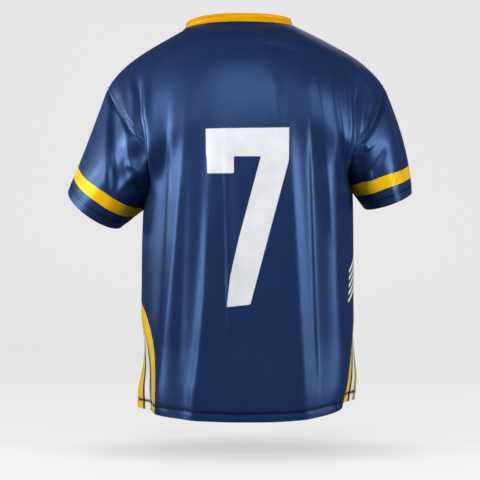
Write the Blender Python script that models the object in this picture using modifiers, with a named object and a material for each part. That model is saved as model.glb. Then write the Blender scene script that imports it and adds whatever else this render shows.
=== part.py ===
"""A short-sleeved lacrosse jersey, filled out as on a wearer, with nobody in it.

Metres, +Z up. The back faces -Y and the wearer's right arm is at +X. The origin is in the middle
of the line over the shoulders, from which the jersey hangs. Each cut piece is an open loft with
its own wall, and neighbours keep a small gap at their seam.
"""

import math

import bpy
import numpy as np

OBJECT_NAME = "lacrosse_jersey"

WALL = 0.0018  # a double-knit polyester with its turnings
SEAM_GAP = 0.0003
ARMHOLE_GAP = 0.0008  # the sleeve turns at this seam, so its wall needs more room
SHOULDER_GAP = 0.0010
COLLAR_GAP = 0.0014

UNDERARM_DROP = 0.315  # from the shoulder line down to the underarm
RIGHT_UNDERARM_LIFT = 0.038  # the right sleeve is held higher
HEM_DROP = 0.677  # to the hem at the left side seam
TAIL_DROP = 0.012  # the hem hangs this much lower at the centre back
RIGHT_LIFT = 0.013  # and this much higher at the wearer's right
ROUNDNESS = 2.6  # power of the body's rounded section, where 2 is an ellipse

# Sections of the body below the underarms: reach from the middle to each side.
RING_COLUMNS = ("drop", "left", "right", "back", "front")
RINGS = (
    (0.315, 0.1865, 0.1880, 0.138, 0.128),
    (0.378, 0.1886, 0.1894, 0.136, 0.130),
    (0.450, 0.1895, 0.1900, 0.133, 0.131),
    (0.522, 0.1900, 0.1900, 0.131, 0.130),
    (0.563, 0.1860, 0.1915, 0.130, 0.129),
    (0.605, 0.1895, 0.1955, 0.130, 0.128),
    (0.640, 0.1965, 0.1985, 0.130, 0.128),
    (0.680, 0.1985, 0.1945, 0.129, 0.126),
)

# Side panel seams: length of cloth from the widest point of the side to each seam.
SEAM_COLUMNS = ("drop", "back_left", "back_right", "front")
SEAMS = (
    (0.315, 0.007, 0.007, 0.007),
    (0.440, 0.010, 0.008, 0.030),
    (0.510, 0.024, 0.011, 0.045),
    (0.563, 0.043, 0.023, 0.058),
    (0.610, 0.054, 0.038, 0.068),
    (0.680, 0.066, 0.056, 0.078),
)

# Armhole edge, from the underarm (rise 0) to the shoulder tip (rise 1): its distance from the
# middle, its height, and how far it lies behind or before the shoulder line.
ARMHOLE_COLUMNS = ("rise", "left", "right", "left_z", "right_z", "depth")
ARMHOLE = (
    (0.00, 0.1865, 0.187, -0.315, -0.277, 0.007),
    (0.14, 0.182, 0.183, -0.295, -0.263, 0.050),
    (0.28, 0.178, 0.184, -0.265, -0.245, 0.090),
    (0.42, 0.179, 0.190, -0.235, -0.223, 0.110),
    (0.52, 0.186, 0.198, -0.215, -0.206, 0.106),
    (0.68, 0.206, 0.217, -0.182, -0.176, 0.085),
    (0.84, 0.231, 0.233, -0.147, -0.138, 0.050),
    (1.00, 0.252, 0.246, -0.107, -0.104, 0.000),
)
FRONT_ARMHOLE_SHARE = 0.92  # the chest is shallower than the back

# The middle of the back and of the front over the same rise, up to the neckline.
MIDDLE_COLUMNS = ("rise", "back_depth", "back_z", "front_depth", "front_z")
MIDDLES = (
    (0.00, 0.138, -0.315, 0.128, -0.315),
    (0.14, 0.140, -0.262, 0.129, -0.284),
    (0.28, 0.141, -0.208, 0.129, -0.253),
    (0.42, 0.139, -0.157, 0.126, -0.222),
    (0.52, 0.135, -0.122, 0.122, -0.200),
    (0.68, 0.124, -0.074, 0.114, -0.165),
    (0.84, 0.104, -0.031, 0.103, -0.130),
)
YOKE_RISE = 0.84  # above this the cloth rounds over to the shoulder seam and the neck
RISE_STEP = 0.01
CURL_RISE = 0.42  # up to this the rows still curl forwards round the body
ROW_DROOP = 2.2

# Neck and shoulder seam.
NECK_X = -0.016  # the neck sits this far from the middle
NECK_HALF_WIDTH = 0.098
NECK_BACK_DEPTH = 0.070
NECK_BACK_Z = 0.004
NECK_LEFT_Z = -0.002
NECK_RIGHT_Z = 0.006
NECK_FRONT_DEPTH = 0.092
NECK_FRONT_Z = -0.092
V_SPREAD = 1.2  # power that keeps the V open below the shoulders
NECK_SHARE = 0.4  # share of half a panel's top edge that is neckline
NECK_CLIMB = 0.9  # how steeply the cloth climbs as it reaches the neck
NECK_CLIMB_TURN = 0.45
SHOULDER_SLOPE_SHARE = 0.72  # the rest of the fall comes close to the tip
TIP_ROUND_POWER = 5

# Folds on the back, each a ridge (or a trough, with a height below zero) between two ends.
FOLD_COLUMNS = ("x_top", "z_top", "x_low", "z_low", "width", "height")
BACK_FOLDS = (
    (-0.106, -0.110, -0.150, -0.490, 0.013, 0.0050),
    (-0.104, -0.300, -0.108, -0.500, 0.016, -0.0040),
    (-0.066, -0.250, -0.098, -0.670, 0.022, 0.0055),
    (0.079, -0.100, 0.112, -0.650, 0.020, 0.0050),
    (0.118, -0.070, 0.171, -0.500, 0.012, 0.0070),
    (0.040, -0.500, 0.052, -0.690, 0.024, -0.0040),
    (-0.164, -0.090, -0.166, -0.260, 0.012, -0.0060),
    (-0.163, -0.360, -0.164, -0.510, 0.014, -0.0050),
    (0.150, -0.060, 0.205, -0.160, 0.014, 0.0050),
)
FRONT_FOLDS = (
    (-0.110, -0.180, -0.135, -0.520, 0.016, 0.0050),
    (-0.040, -0.330, -0.062, -0.670, 0.022, 0.0050),
    (0.070, -0.260, 0.094, -0.660, 0.020, 0.0055),
    (0.128, -0.170, 0.150, -0.480, 0.014, 0.0050),
)
FOLD_FADE = 0.3  # share of a fold's length over which each end dies out
SIDE_BLEND = 0.05  # folds of the back and the front die out this near the sides

# The body's rough size, from which a fold's lift gets its direction.
BODY_HALF_WIDTH = 0.19
BODY_HALF_DEPTH = 0.13
SHOULDER_TURN_Z = -0.2  # above this the lift tips upwards
SHOULDER_TURN_REACH = 0.2

# The hem is pulled in where the side panel joins the back, so that the panel flares.
FLARE_DEPTH = 0.020
FLARE_WIDTH = 0.034
FLARE_TOP_DROP = 0.53

# Sleeve opening: middle, half the width seen from behind, half the depth, and the tilt that
# brings its back edge down.
CUFF_COLUMNS = ("x", "z", "half_x", "half_z", "half_y", "tilt_x", "tilt_z", "bulge")
CUFFS = {
    "left": (-0.2725, -0.3195, -0.0455, 0.0345, 0.072, -0.010, -0.015, -0.001),
    "right": (0.2525, -0.3065, 0.0405, 0.0155, 0.080, 0.002, -0.008, 0.011),
}
OUTER_START = -0.2  # cosine of the turn round the sleeve where its outer side begins
CUFF_WIDTH = 0.026  # navy end below the inset band
BAND_WIDTH = 0.019

# Collar band, standing on the neckline and leaning in.
COLLAR_WIDTH = 0.013  # at the sides of the neck
COLLAR_BACK_EXTRA = 0.006  # and this much wider at its middle
COLLAR_LEAN = 0.30
COLLAR_BACK_LEAN = 0.20
COLLAR_FRONT_LEAN = 0.25
COLLAR_MITRE = 0.35  # the band is this much wider along the point of the V
COLLAR_MITRE_POWER = 8
NECK_MIDDLE_Y = 0.010

NAVY = (0.020, 0.045, 0.150)
GOLD = (0.90, 0.50, 0.01)
KNIT_ROUGHNESS = 0.55

BACK_HALF_COLUMNS = 20
FRONT_HALF_COLUMNS = 15
SIDE_COLUMNS = 6
SIDE_TOP_SHARE = 0.15  # a side panel stops this part of a row short of the armhole
EDGE_SHARE = 0.02  # a narrow first column or row keeps a piece's edge square to the cloth
BODY_ROWS = 13
YOKE_ROWS = 10
SHOULDER_ROWS = 4
SLEEVE_ROWS = 7
COLLAR_ROWS = 3
COLLAR_HALF_COLUMNS = 11
RING_SAMPLES = 720
ROW_SAMPLES = 240


def named(columns, rows):
    """A table's columns by name."""
    return dict(zip(columns, np.array(rows, float).T))


RING = named(RING_COLUMNS, RINGS)
SEAM = named(SEAM_COLUMNS, SEAMS)
HOLE = named(ARMHOLE_COLUMNS, ARMHOLE)
MIDDLE = named(MIDDLE_COLUMNS, MIDDLES)


def through(stations, values, at):
    """A smooth curve through the rows of a table, read at any station between them."""
    slopes = np.gradient(values, stations)
    at = np.clip(at, stations[0], stations[-1])
    low = np.clip(np.searchsorted(stations, at, side="right") - 1, 0, len(stations) - 2)
    span = stations[low + 1] - stations[low]
    part = (at - stations[low]) / span
    rest = 1 - part
    from_low = values[low] * (1 + 2 * part) + slopes[low] * span * part
    from_high = values[low + 1] * (1 + 2 * rest) - slopes[low + 1] * span * rest
    return from_low * rest**2 + from_high * part**2


def smooth_step(value):
    value = np.clip(value, 0, 1)
    return value * value * (3 - 2 * value)


def shares(count):
    """Even steps from 0 to 1, with a narrow one at the start."""
    return np.concatenate([[0], np.linspace(EDGE_SHARE, 1, count)])


def spread(points, parts):
    """Points set along a run of points, at parts of its length."""
    steps = np.linalg.norm(np.diff(points, axis=0), axis=1)
    lengths = np.concatenate([[0], np.cumsum(steps)])
    at = parts * lengths[-1]
    return np.column_stack([np.interp(at, lengths, points[:, k]) for k in range(3)])


def outward(points):
    """The way in which a fold lifts the cloth: away from the body, and up at the shoulders."""
    x, y, z = points.T
    up = np.maximum(z - SHOULDER_TURN_Z, 0) / SHOULDER_TURN_REACH**2
    way = np.column_stack([x / BODY_HALF_WIDTH**2, y / BODY_HALF_DEPTH**2, up])
    return way / np.linalg.norm(way, axis=1)[:, None]


def fold_height(points, folds):
    """How far the folds lift each point, from its place seen from behind or before."""
    x, z = points[:, 0], points[:, 2]
    lift = np.zeros(len(points))
    for row in folds:
        fold = dict(zip(FOLD_COLUMNS, row))
        run_x, run_z = fold["x_low"] - fold["x_top"], fold["z_low"] - fold["z_top"]
        length = math.hypot(run_x, run_z)
        from_x, from_z = x - fold["x_top"], z - fold["z_top"]
        along = (from_x * run_x + from_z * run_z) / length**2
        across = (from_x * run_z - from_z * run_x) / length
        ends = smooth_step(along / FOLD_FADE) * smooth_step((1 - along) / FOLD_FADE)
        lift += fold["height"] * ends * np.exp(-((across / fold["width"]) ** 2))
    return lift


def folded(points):
    """The points moved out or in by the folds of the side of the body that they lie on."""
    behind = smooth_step(-points[:, 1] / SIDE_BLEND)
    before = smooth_step(points[:, 1] / SIDE_BLEND)
    lift = fold_height(points, BACK_FOLDS) * behind + fold_height(points, FRONT_FOLDS) * before
    return points + outward(points) * lift[:, None]


def ring(drop):
    """A closed section of the body, from the left side over the back, with the length to each
    point."""
    left, right, back, front = (
        through(RING["drop"], RING[name], drop) for name in RING_COLUMNS[1:]
    )
    turn = np.linspace(0, 2 * math.pi, RING_SAMPLES + 1)
    across, behind = np.cos(turn), np.sin(turn)
    power = 2 / ROUNDNESS
    x = -np.where(across > 0, left, right) * np.sign(across) * np.abs(across) ** power
    y = -np.where(behind > 0, back, front) * np.sign(behind) * np.abs(behind) ** power
    steps = np.hypot(np.diff(x), np.diff(y))
    lengths = np.concatenate([[0], np.cumsum(steps)])
    return x, y, lengths


def seam_places(drop):
    """Lengths round the ring to the four side seams and to the middles of back and front."""
    x, y, lengths = ring(drop)
    quarter = RING_SAMPLES // 4
    total = lengths[-1]
    at = {name: float(through(SEAM["drop"], SEAM[name], drop)) for name in SEAM_COLUMNS[1:]}
    return {
        "left_back": at["back_left"],
        "back": lengths[quarter],
        "right_back": lengths[2 * quarter] - at["back_right"],
        "right_front": lengths[2 * quarter] + at["front"],
        "front": lengths[3 * quarter],
        "left_front": total - at["front"],
        "left_back_again": total + at["back_left"],
    }


def ring_stretch(drop, start, end, parts):
    """Points of the ring between two lengths, dropped to the hem's line and flared."""
    x, y, lengths = ring(drop)
    at = start + (end - start) * parts
    total = lengths[-1]
    px = np.interp(at, lengths[:-1], x[:-1], period=total)
    py = np.interp(at, lengths[:-1], y[:-1], period=total)
    back = np.maximum(-py / RING["back"][-1], 0)
    right = np.maximum(px / RING["right"][-1], 0)
    hem = HEM_DROP + TAIL_DROP * back**4 - RIGHT_LIFT * right**4
    underarm = UNDERARM_DROP - RIGHT_UNDERARM_LIFT * right**ROW_DROOP
    share = (drop - UNDERARM_DROP) / (HEM_DROP - UNDERARM_DROP)
    z = -(underarm + (hem - underarm) * share)
    points = np.column_stack([px, py, z])
    places = seam_places(drop)
    pull = np.zeros(len(parts))
    for name in ("left_back", "right_back", "left_back_again"):
        pull += np.exp(-(((at - places[name]) / FLARE_WIDTH) ** 2))
    low = smooth_step((drop - FLARE_TOP_DROP) / (HEM_DROP - FLARE_TOP_DROP))
    return points - outward(points) * (FLARE_DEPTH * low * pull)[:, None]


def yoke_half(rise, side, face):
    """Half a row above the underarm, from the armhole edge to the middle of the back or front."""
    sign = -1 if side == "left" else 1
    edge_x = sign * through(HOLE["rise"], HOLE[side], rise)
    edge_z = through(HOLE["rise"], HOLE[side + "_z"], rise)
    edge_y = through(HOLE["rise"], HOLE["depth"], rise)
    middle_y = through(MIDDLE["rise"], MIDDLE[face + "_depth"], rise)
    middle_z = through(MIDDLE["rise"], MIDDLE[face + "_z"], rise)
    middle_x = NECK_X * smooth_step(rise)
    if face == "front":
        edge_y *= 1 - (1 - FRONT_ARMHOLE_SHARE) * smooth_step(rise / CURL_RISE)
    uncurl = smooth_step(rise / CURL_RISE)
    bow = ROUNDNESS + (2 - ROUNDNESS) * uncurl
    curl = 1 / ROUNDNESS + (1 - 1 / ROUNDNESS) * uncurl
    out = np.cos(np.linspace(0, math.pi / 2, ROW_SAMPLES))
    x = middle_x + (edge_x - middle_x) * out
    y = edge_y + (middle_y - edge_y) * (1 - out**bow) ** curl
    z = middle_z + (edge_z - middle_z) * out**ROW_DROOP
    return np.column_stack([x, -y if face == "back" else y, z])


def neckline(side, face):
    """Half the neckline, from the neck point at the shoulder to the middle."""
    sign = -1 if side == "left" else 1
    start_z = NECK_LEFT_Z if side == "left" else NECK_RIGHT_Z
    turn = np.linspace(0, math.pi / 2, ROW_SAMPLES)
    if face == "back":
        x = NECK_X + sign * NECK_HALF_WIDTH * np.cos(turn)
        y = -NECK_BACK_DEPTH * np.sin(turn)
        z = start_z + (NECK_BACK_Z - start_z) * np.sin(turn)
    else:
        part = np.linspace(0, 1, ROW_SAMPLES)
        x = NECK_X + sign * NECK_HALF_WIDTH * (1 - part**V_SPREAD)
        y = NECK_FRONT_DEPTH * np.sin(part * math.pi / 2)
        z = start_z + (NECK_FRONT_Z - start_z) * part**V_SPREAD
    return np.column_stack([x, y, z])


def shoulder_seam(side):
    """The seam over the shoulder, from its tip to the neck point."""
    sign = -1 if side == "left" else 1
    neck_z = NECK_LEFT_Z if side == "left" else NECK_RIGHT_Z
    neck_x = NECK_X + sign * NECK_HALF_WIDTH
    tip_x, tip_z = sign * HOLE[side][-1], HOLE[side + "_z"][-1]
    out = np.linspace(1, 0, ROW_SAMPLES)
    fall = SHOULDER_SLOPE_SHARE * out + (1 - SHOULDER_SLOPE_SHARE) * out**TIP_ROUND_POWER
    return np.column_stack(
        [neck_x + (tip_x - neck_x) * out, 0 * out, neck_z + (tip_z - neck_z) * fall]
    )


def top_half(side, face, columns):
    """Half a panel's top edge: the shoulder seam, then the neckline."""
    neck_columns = round(columns * NECK_SHARE)
    seam = spread(shoulder_seam(side), shares(columns - neck_columns))
    neck = spread(neckline(side, face), np.linspace(0, 1, neck_columns + 1))
    edge = np.vstack([seam[:-1], neck])
    edge[:, 1] += SHOULDER_GAP / 2 * (-1 if face == "back" else 1)
    return edge


def top_slope(side, face, columns):
    """Which way the cloth runs as it reaches the top edge: level at the shoulder, and steeper
    at the neck."""
    neck_columns = round(columns * NECK_SHARE)
    forward = 1 if face == "back" else -1
    to_neck = np.linspace(0, 1, columns + 1)
    at_neck = smooth_step((to_neck * columns - (columns - neck_columns)) / neck_columns)
    rise = NECK_CLIMB * at_neck
    slope = np.column_stack([0 * rise, forward * (1 - NECK_CLIMB_TURN * at_neck), rise])
    return slope / np.linalg.norm(slope, axis=1)[:, None]


def yoke_rows(side, face, columns):
    """Half of a panel above the underarm, row by row, each from the armhole to the middle."""
    rises = np.linspace(0, YOKE_RISE, YOKE_ROWS + 1)
    parts = shares(columns)
    rows = [spread(yoke_half(rise, side, face), parts) for rise in rises]
    low = rows[-1]
    before = spread(yoke_half(YOKE_RISE - RISE_STEP, side, face), parts)
    high = top_half(side, face, columns)
    reach = np.linalg.norm(high - low, axis=1)[:, None]
    leave = low - before
    leave = leave / np.linalg.norm(leave, axis=1)[:, None] * reach
    arrive = top_slope(side, face, columns) * reach
    for part in 1 - shares(SHOULDER_ROWS)[-2::-1]:
        rest = 1 - part
        from_low = (low * (1 + 2 * part) + leave * part) * rest**2
        from_high = (high * (1 + 2 * rest) - arrive * rest) * part**2
        rows.append(from_low + from_high)
    return rows


def panel_rows(face, half_columns):
    """The rows of the back or the front, from the hem to the shoulder seams and the neck."""
    rows = []
    for drop in np.linspace(HEM_DROP, UNDERARM_DROP, BODY_ROWS + 1)[:-1]:
        at = seam_places(drop)
        first, last = f"left_{face}", f"right_{face}"
        inset = SEAM_GAP / 2 if face == "back" else -SEAM_GAP / 2
        one = ring_stretch(drop, at[first] + inset, at[face], shares(half_columns))
        other = ring_stretch(drop, at[last] - inset, at[face], shares(half_columns))
        rows.append(folded(np.vstack([one[:-1], other[::-1]])))
    left = yoke_rows("left", face, half_columns)
    right = yoke_rows("right", face, half_columns)
    for one, other in zip(left, right):
        rows.append(folded(np.vstack([one[:-1], other[::-1]])))
    return rows


def side_rows(side):
    """The rows of a side panel, from the hem to a narrow top at the underarm."""
    rows = []
    for drop in np.linspace(HEM_DROP, UNDERARM_DROP, BODY_ROWS + 1):
        at = seam_places(drop)
        if side == "left":
            start, end = at["left_front"], at["left_back_again"]
        else:
            start, end = at["right_back"], at["right_front"]
        parts = np.linspace(0, 1, SIDE_COLUMNS + 1)
        parts[1], parts[-2] = EDGE_SHARE, 1 - EDGE_SHARE
        points = ring_stretch(drop, start + SEAM_GAP / 2, end - SEAM_GAP / 2, parts)
        rows.append(folded(points))
    rows[-1] = rows[-1] + (rows[-2] - rows[-1]) * SIDE_TOP_SHARE
    return rows


def armhole(side):
    """The closed edge of the armhole: from the shoulder tip down the back and up the front."""
    back = [folded(row[:1])[0] for row in yoke_rows(side, "back", BACK_HALF_COLUMNS)]
    front = [folded(row[:1])[0] for row in yoke_rows(side, "front", FRONT_HALF_COLUMNS)]
    loop = back[::-1] + front
    loop[-1] = loop[0] = (loop[0] + loop[-1]) / 2
    return np.array(loop)


def cuff(side):
    """The closed edge of the sleeve's opening, point for point with the armhole, and how far
    each point is on the outer side of the arm."""
    at = dict(zip(CUFF_COLUMNS, CUFFS[side]))
    loop = armhole(side)
    steps = np.linalg.norm(np.diff(loop, axis=0), axis=1)
    lengths = np.concatenate([[0], np.cumsum(steps)])
    half = YOKE_ROWS + SHOULDER_ROWS
    under = (lengths[half] + lengths[half + 1]) / 2
    turn = np.where(
        lengths < under,
        lengths / under * math.pi,
        math.pi + (lengths - under) / (lengths[-1] - under) * math.pi,
    )
    out, back = np.cos(turn), np.sin(turn)
    x = at["x"] + at["half_x"] * out + at["tilt_x"] * back
    y = -at["half_y"] * back
    z = at["z"] + at["half_z"] * out + at["tilt_z"] * back
    return np.column_stack([x, y, z]), smooth_step((out - OUTER_START) / (1 - OUTER_START))


def sleeve_point_rows(side, start, end, count):
    """Rings of the sleeve between two distances: from the armhole, or, below zero, from the
    opening."""
    first = armhole(side)
    last, outer = cuff(side)
    run = last - first
    length = np.linalg.norm(run, axis=1)[:, None]
    bulge = dict(zip(CUFF_COLUMNS, CUFFS[side]))["bulge"]
    middle_first, middle_last = first[:-1].mean(axis=0), last[:-1].mean(axis=0)
    rows = []
    for part in shares(count):
        near = start if start >= 0 else length + start
        far = end if end > 0 else length + end
        share = (near + (far - near) * part) / length
        points = first + run * share
        spoke = points - (middle_first + (middle_last - middle_first) * share)
        spoke = spoke / np.linalg.norm(spoke, axis=1)[:, None]
        rows.append(points + spoke * (bulge * 4 * outer[:, None] * share * (1 - share)))
    return rows


def collar_rows():
    """The collar band: it rises from the neckline and leans in towards the neck."""
    seam = []
    for face, side in (("back", "left"), ("back", "right"), ("front", "right"), ("front", "left")):
        part = spread(neckline(side, face), np.linspace(0, 1, COLLAR_HALF_COLUMNS + 1))
        seam.append(part if (face == "back") == (side == "left") else part[::-1])
    loop = np.vstack([part[:-1] for part in seam])
    middle = np.array([NECK_X, NECK_MIDDLE_Y, 0])
    ahead = smooth_step(loop[:, 1] / NECK_FRONT_DEPTH)
    behind = smooth_step(-loop[:, 1] / NECK_BACK_DEPTH)
    inward = middle - loop
    inward[:, 2] = 0
    inward /= np.linalg.norm(inward, axis=1)[:, None]
    lean = COLLAR_LEAN + COLLAR_BACK_LEAN * behind + COLLAR_FRONT_LEAN * ahead
    width = COLLAR_WIDTH + COLLAR_BACK_EXTRA * (behind + ahead)
    way = np.column_stack([inward[:, 0] * lean, inward[:, 1] * lean, np.sqrt(1 - lean**2)])
    mitre = 1 + COLLAR_MITRE * ahead**COLLAR_MITRE_POWER
    rows = []
    for part in np.linspace(0, 1, COLLAR_ROWS + 1):
        rise = COLLAR_GAP + (width * mitre - COLLAR_GAP) * part
        rows.append(loop + way * rise[:, None])
    return rows


def cloth_material(name, colour, roughness):
    material = bpy.data.materials.new(name)
    material.use_nodes = True
    shader = material.node_tree.nodes["Principled BSDF"]
    shader.inputs["Base Color"].default_value = (*colour, 1)
    shader.inputs["Roughness"].default_value = roughness
    shader.inputs["Metallic"].default_value = 0
    return material


def add_cloth(name, rows, material, closed=False):
    """A piece of cloth: a loft through its rows of points, given its wall inwards."""
    count = len(rows[0])
    points = np.vstack(rows)
    faces = []
    for row in range(len(rows) - 1):
        for column in range(count if closed else count - 1):
            beside = (column + 1) % count
            low, high = row * count, (row + 1) * count
            faces.append((low + column, low + beside, high + beside, high + column))
    mesh = bpy.data.meshes.new(name)
    mesh.from_pydata(points.tolist(), [], faces)
    mesh.materials.append(material)
    mesh.shade_smooth()
    cloth = bpy.data.objects.new(name, mesh)
    collection.objects.link(cloth)
    wall = cloth.modifiers.new("wall", "SOLIDIFY")
    wall.thickness = WALL
    wall.offset = -1
    wall.use_even_offset = True
    return cloth


def add_body():
    add_cloth("back", panel_rows("back", BACK_HALF_COLUMNS), navy)
    front = [row[::-1] for row in panel_rows("front", FRONT_HALF_COLUMNS)]
    add_cloth("front", front, navy)
    for side in ("left", "right"):
        add_cloth(f"side_panel_{side}", side_rows(side), gold)


def add_sleeve(side):
    """A sleeve with its inset band and its end."""
    stretches = (
        (f"sleeve_{side}", ARMHOLE_GAP, -CUFF_WIDTH - BAND_WIDTH, SLEEVE_ROWS, navy),
        (f"sleeve_band_{side}", -CUFF_WIDTH - BAND_WIDTH + SEAM_GAP, -CUFF_WIDTH, 2, gold),
        (f"cuff_{side}", -CUFF_WIDTH + SEAM_GAP, 0, 2, navy),
    )
    for name, start, end, count, material in stretches:
        rows = [row[:-1] for row in sleeve_point_rows(side, start, end, count)]
        if side == "left":
            rows = [row[::-1] for row in rows]
        add_cloth(name, rows, material, closed=True)


for leftover in list(bpy.data.objects):
    bpy.data.objects.remove(leftover)
collection = bpy.data.collections.new(OBJECT_NAME)
bpy.context.scene.collection.children.link(collection)
navy = cloth_material("navy_knit", NAVY, KNIT_ROUGHNESS)
gold = cloth_material("gold_knit", GOLD, KNIT_ROUGHNESS)
add_body()
add_sleeve("left")
add_sleeve("right")
add_cloth("collar", collar_rows(), gold, closed=True)
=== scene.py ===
import math

import bpy
import numpy as np
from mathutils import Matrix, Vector, noise


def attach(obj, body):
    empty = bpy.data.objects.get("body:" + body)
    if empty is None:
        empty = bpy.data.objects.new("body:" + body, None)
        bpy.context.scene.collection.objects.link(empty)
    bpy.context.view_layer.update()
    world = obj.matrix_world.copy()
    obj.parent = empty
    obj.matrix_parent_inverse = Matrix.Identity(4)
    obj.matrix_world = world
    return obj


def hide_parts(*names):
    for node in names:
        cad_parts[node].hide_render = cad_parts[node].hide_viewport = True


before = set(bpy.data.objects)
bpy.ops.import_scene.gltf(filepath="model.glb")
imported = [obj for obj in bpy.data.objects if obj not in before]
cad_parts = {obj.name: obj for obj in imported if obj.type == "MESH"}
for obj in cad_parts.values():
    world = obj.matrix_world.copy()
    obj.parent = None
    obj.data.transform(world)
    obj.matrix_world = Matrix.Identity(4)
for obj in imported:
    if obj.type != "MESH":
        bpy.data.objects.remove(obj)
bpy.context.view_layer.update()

# Back panel. One wide piece of satin-faced polyester double knit, dyed navy right through, with
# the plain block number 7 printed on it. It is cut from hem to neckline, hangs from the shoulder
# seams, and is sewn to the side panels and the sleeves.
UNDERARM_DROP = 0.315
RIGHT_UNDERARM_LIFT = 0.038
HEM_DROP = 0.677
TAIL_DROP = 0.012
RIGHT_LIFT = 0.013
ROUNDNESS = 2.6
RING_COLUMNS = ("drop", "left", "right", "back", "front")
RINGS = (
    (0.315, 0.1865, 0.1880, 0.138, 0.128),
    (0.378, 0.1886, 0.1894, 0.136, 0.130),
    (0.450, 0.1895, 0.1900, 0.133, 0.131),
    (0.522, 0.1900, 0.1900, 0.131, 0.130),
    (0.563, 0.1860, 0.1915, 0.130, 0.129),
    (0.605, 0.1895, 0.1955, 0.130, 0.128),
    (0.640, 0.1965, 0.1985, 0.130, 0.128),
    (0.680, 0.1985, 0.1945, 0.129, 0.126),
)
SEAM_COLUMNS = ("drop", "back_left", "back_right", "front")
SEAMS = (
    (0.315, 0.007, 0.007, 0.007),
    (0.440, 0.010, 0.008, 0.030),
    (0.510, 0.024, 0.011, 0.045),
    (0.563, 0.043, 0.023, 0.058),
    (0.610, 0.054, 0.038, 0.068),
    (0.680, 0.066, 0.056, 0.078),
)
ARMHOLE_COLUMNS = ("rise", "left", "right", "left_z", "right_z", "depth")
ARMHOLE = (
    (0.00, 0.1865, 0.187, -0.315, -0.277, 0.007),
    (0.14, 0.182, 0.183, -0.295, -0.263, 0.050),
    (0.28, 0.178, 0.184, -0.265, -0.245, 0.090),
    (0.42, 0.179, 0.190, -0.235, -0.223, 0.110),
    (0.52, 0.186, 0.198, -0.215, -0.206, 0.106),
    (0.68, 0.206, 0.217, -0.182, -0.176, 0.085),
    (0.84, 0.231, 0.233, -0.147, -0.138, 0.050),
    (1.00, 0.252, 0.246, -0.107, -0.104, 0.000),
)
FRONT_ARMHOLE_SHARE = 0.92
MIDDLE_COLUMNS = ("rise", "back_depth", "back_z", "front_depth", "front_z")
MIDDLES = (
    (0.00, 0.138, -0.315, 0.128, -0.315),
    (0.14, 0.140, -0.262, 0.129, -0.284),
    (0.28, 0.141, -0.208, 0.129, -0.253),
    (0.42, 0.139, -0.157, 0.126, -0.222),
    (0.52, 0.135, -0.122, 0.122, -0.200),
    (0.68, 0.124, -0.074, 0.114, -0.165),
    (0.84, 0.104, -0.031, 0.103, -0.130),
)
YOKE_RISE = 0.84
RISE_STEP = 0.01
CURL_RISE = 0.42
ROW_DROOP = 2.2
NECK_X = -0.016
NECK_HALF_WIDTH = 0.098
NECK_BACK_DEPTH = 0.070
NECK_BACK_Z = 0.004
NECK_Z = {"left": -0.002, "right": 0.006}
NECK_FRONT_DEPTH = 0.092
NECK_FRONT_Z = -0.092
V_SPREAD = 1.2
NECK_SHARE = 0.4
NECK_CLIMB = 0.9
NECK_CLIMB_TURN = 0.45
SHOULDER_SLOPE_SHARE = 0.72
TIP_ROUND_POWER = 5
FLARE_DEPTH = 0.020
FLARE_WIDTH = 0.034
FLARE_TOP_DROP = 0.53
BODY_HALF_WIDTH = 0.19
BODY_HALF_DEPTH = 0.13
SHOULDER_TURN_Z = -0.2
SHOULDER_TURN_REACH = 0.2
SEAM_GAP = 0.00003  # the stitches draw the edges together, so no light comes through
CLOTH = 0.0011  # the knit with a turned edge
EDGE_SHARES = (0, 0.004, 0.009, 0.016)  # narrow columns, about 1 mm, beside each seam
FIRST_EVEN_SHARE = 0.026
HEM_STEPS = (0, 0.001, 0.0025, 0.005, 0.008, 0.0105, 0.0125, 0.0145, 0.0165, 0.0185, 0.021)
EVEN_ROWS_RISE = 0.025  # from here up the rows are evenly spaced
HEM_SEAM = 0.0152  # the stitches press the doubled hem in along this line above its edge
HEM_PRESS = 0.0008
HEM_PRESS_WIDTH = 0.0035
SEAM_DIP = 0.0013  # the seam allowance pulls both edges in by this much
SEAM_DIP_WIDTH = 0.0032
SEWN_AT = 0.0080  # the second row of stitches beside the armhole
SEWN_WIDTH = 0.0022
SEWN_DIP_SHARE = 0.7  # of the dip at the seam
HALF_COLUMNS = {"back": 96, "front": 60}
BODY_ROWS = 104
YOKE_ROWS = 74
SHOULDER_ROWS = 18
SHOULDER_ROW_POWER = 1.3  # above 1, rows lie closer towards the seam
RING_SAMPLES = 720
ROW_SAMPLES = 240
EASE_ROWS = 14
EASE_ROUNDS = 90
EASE_STEP = 0.5

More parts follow.
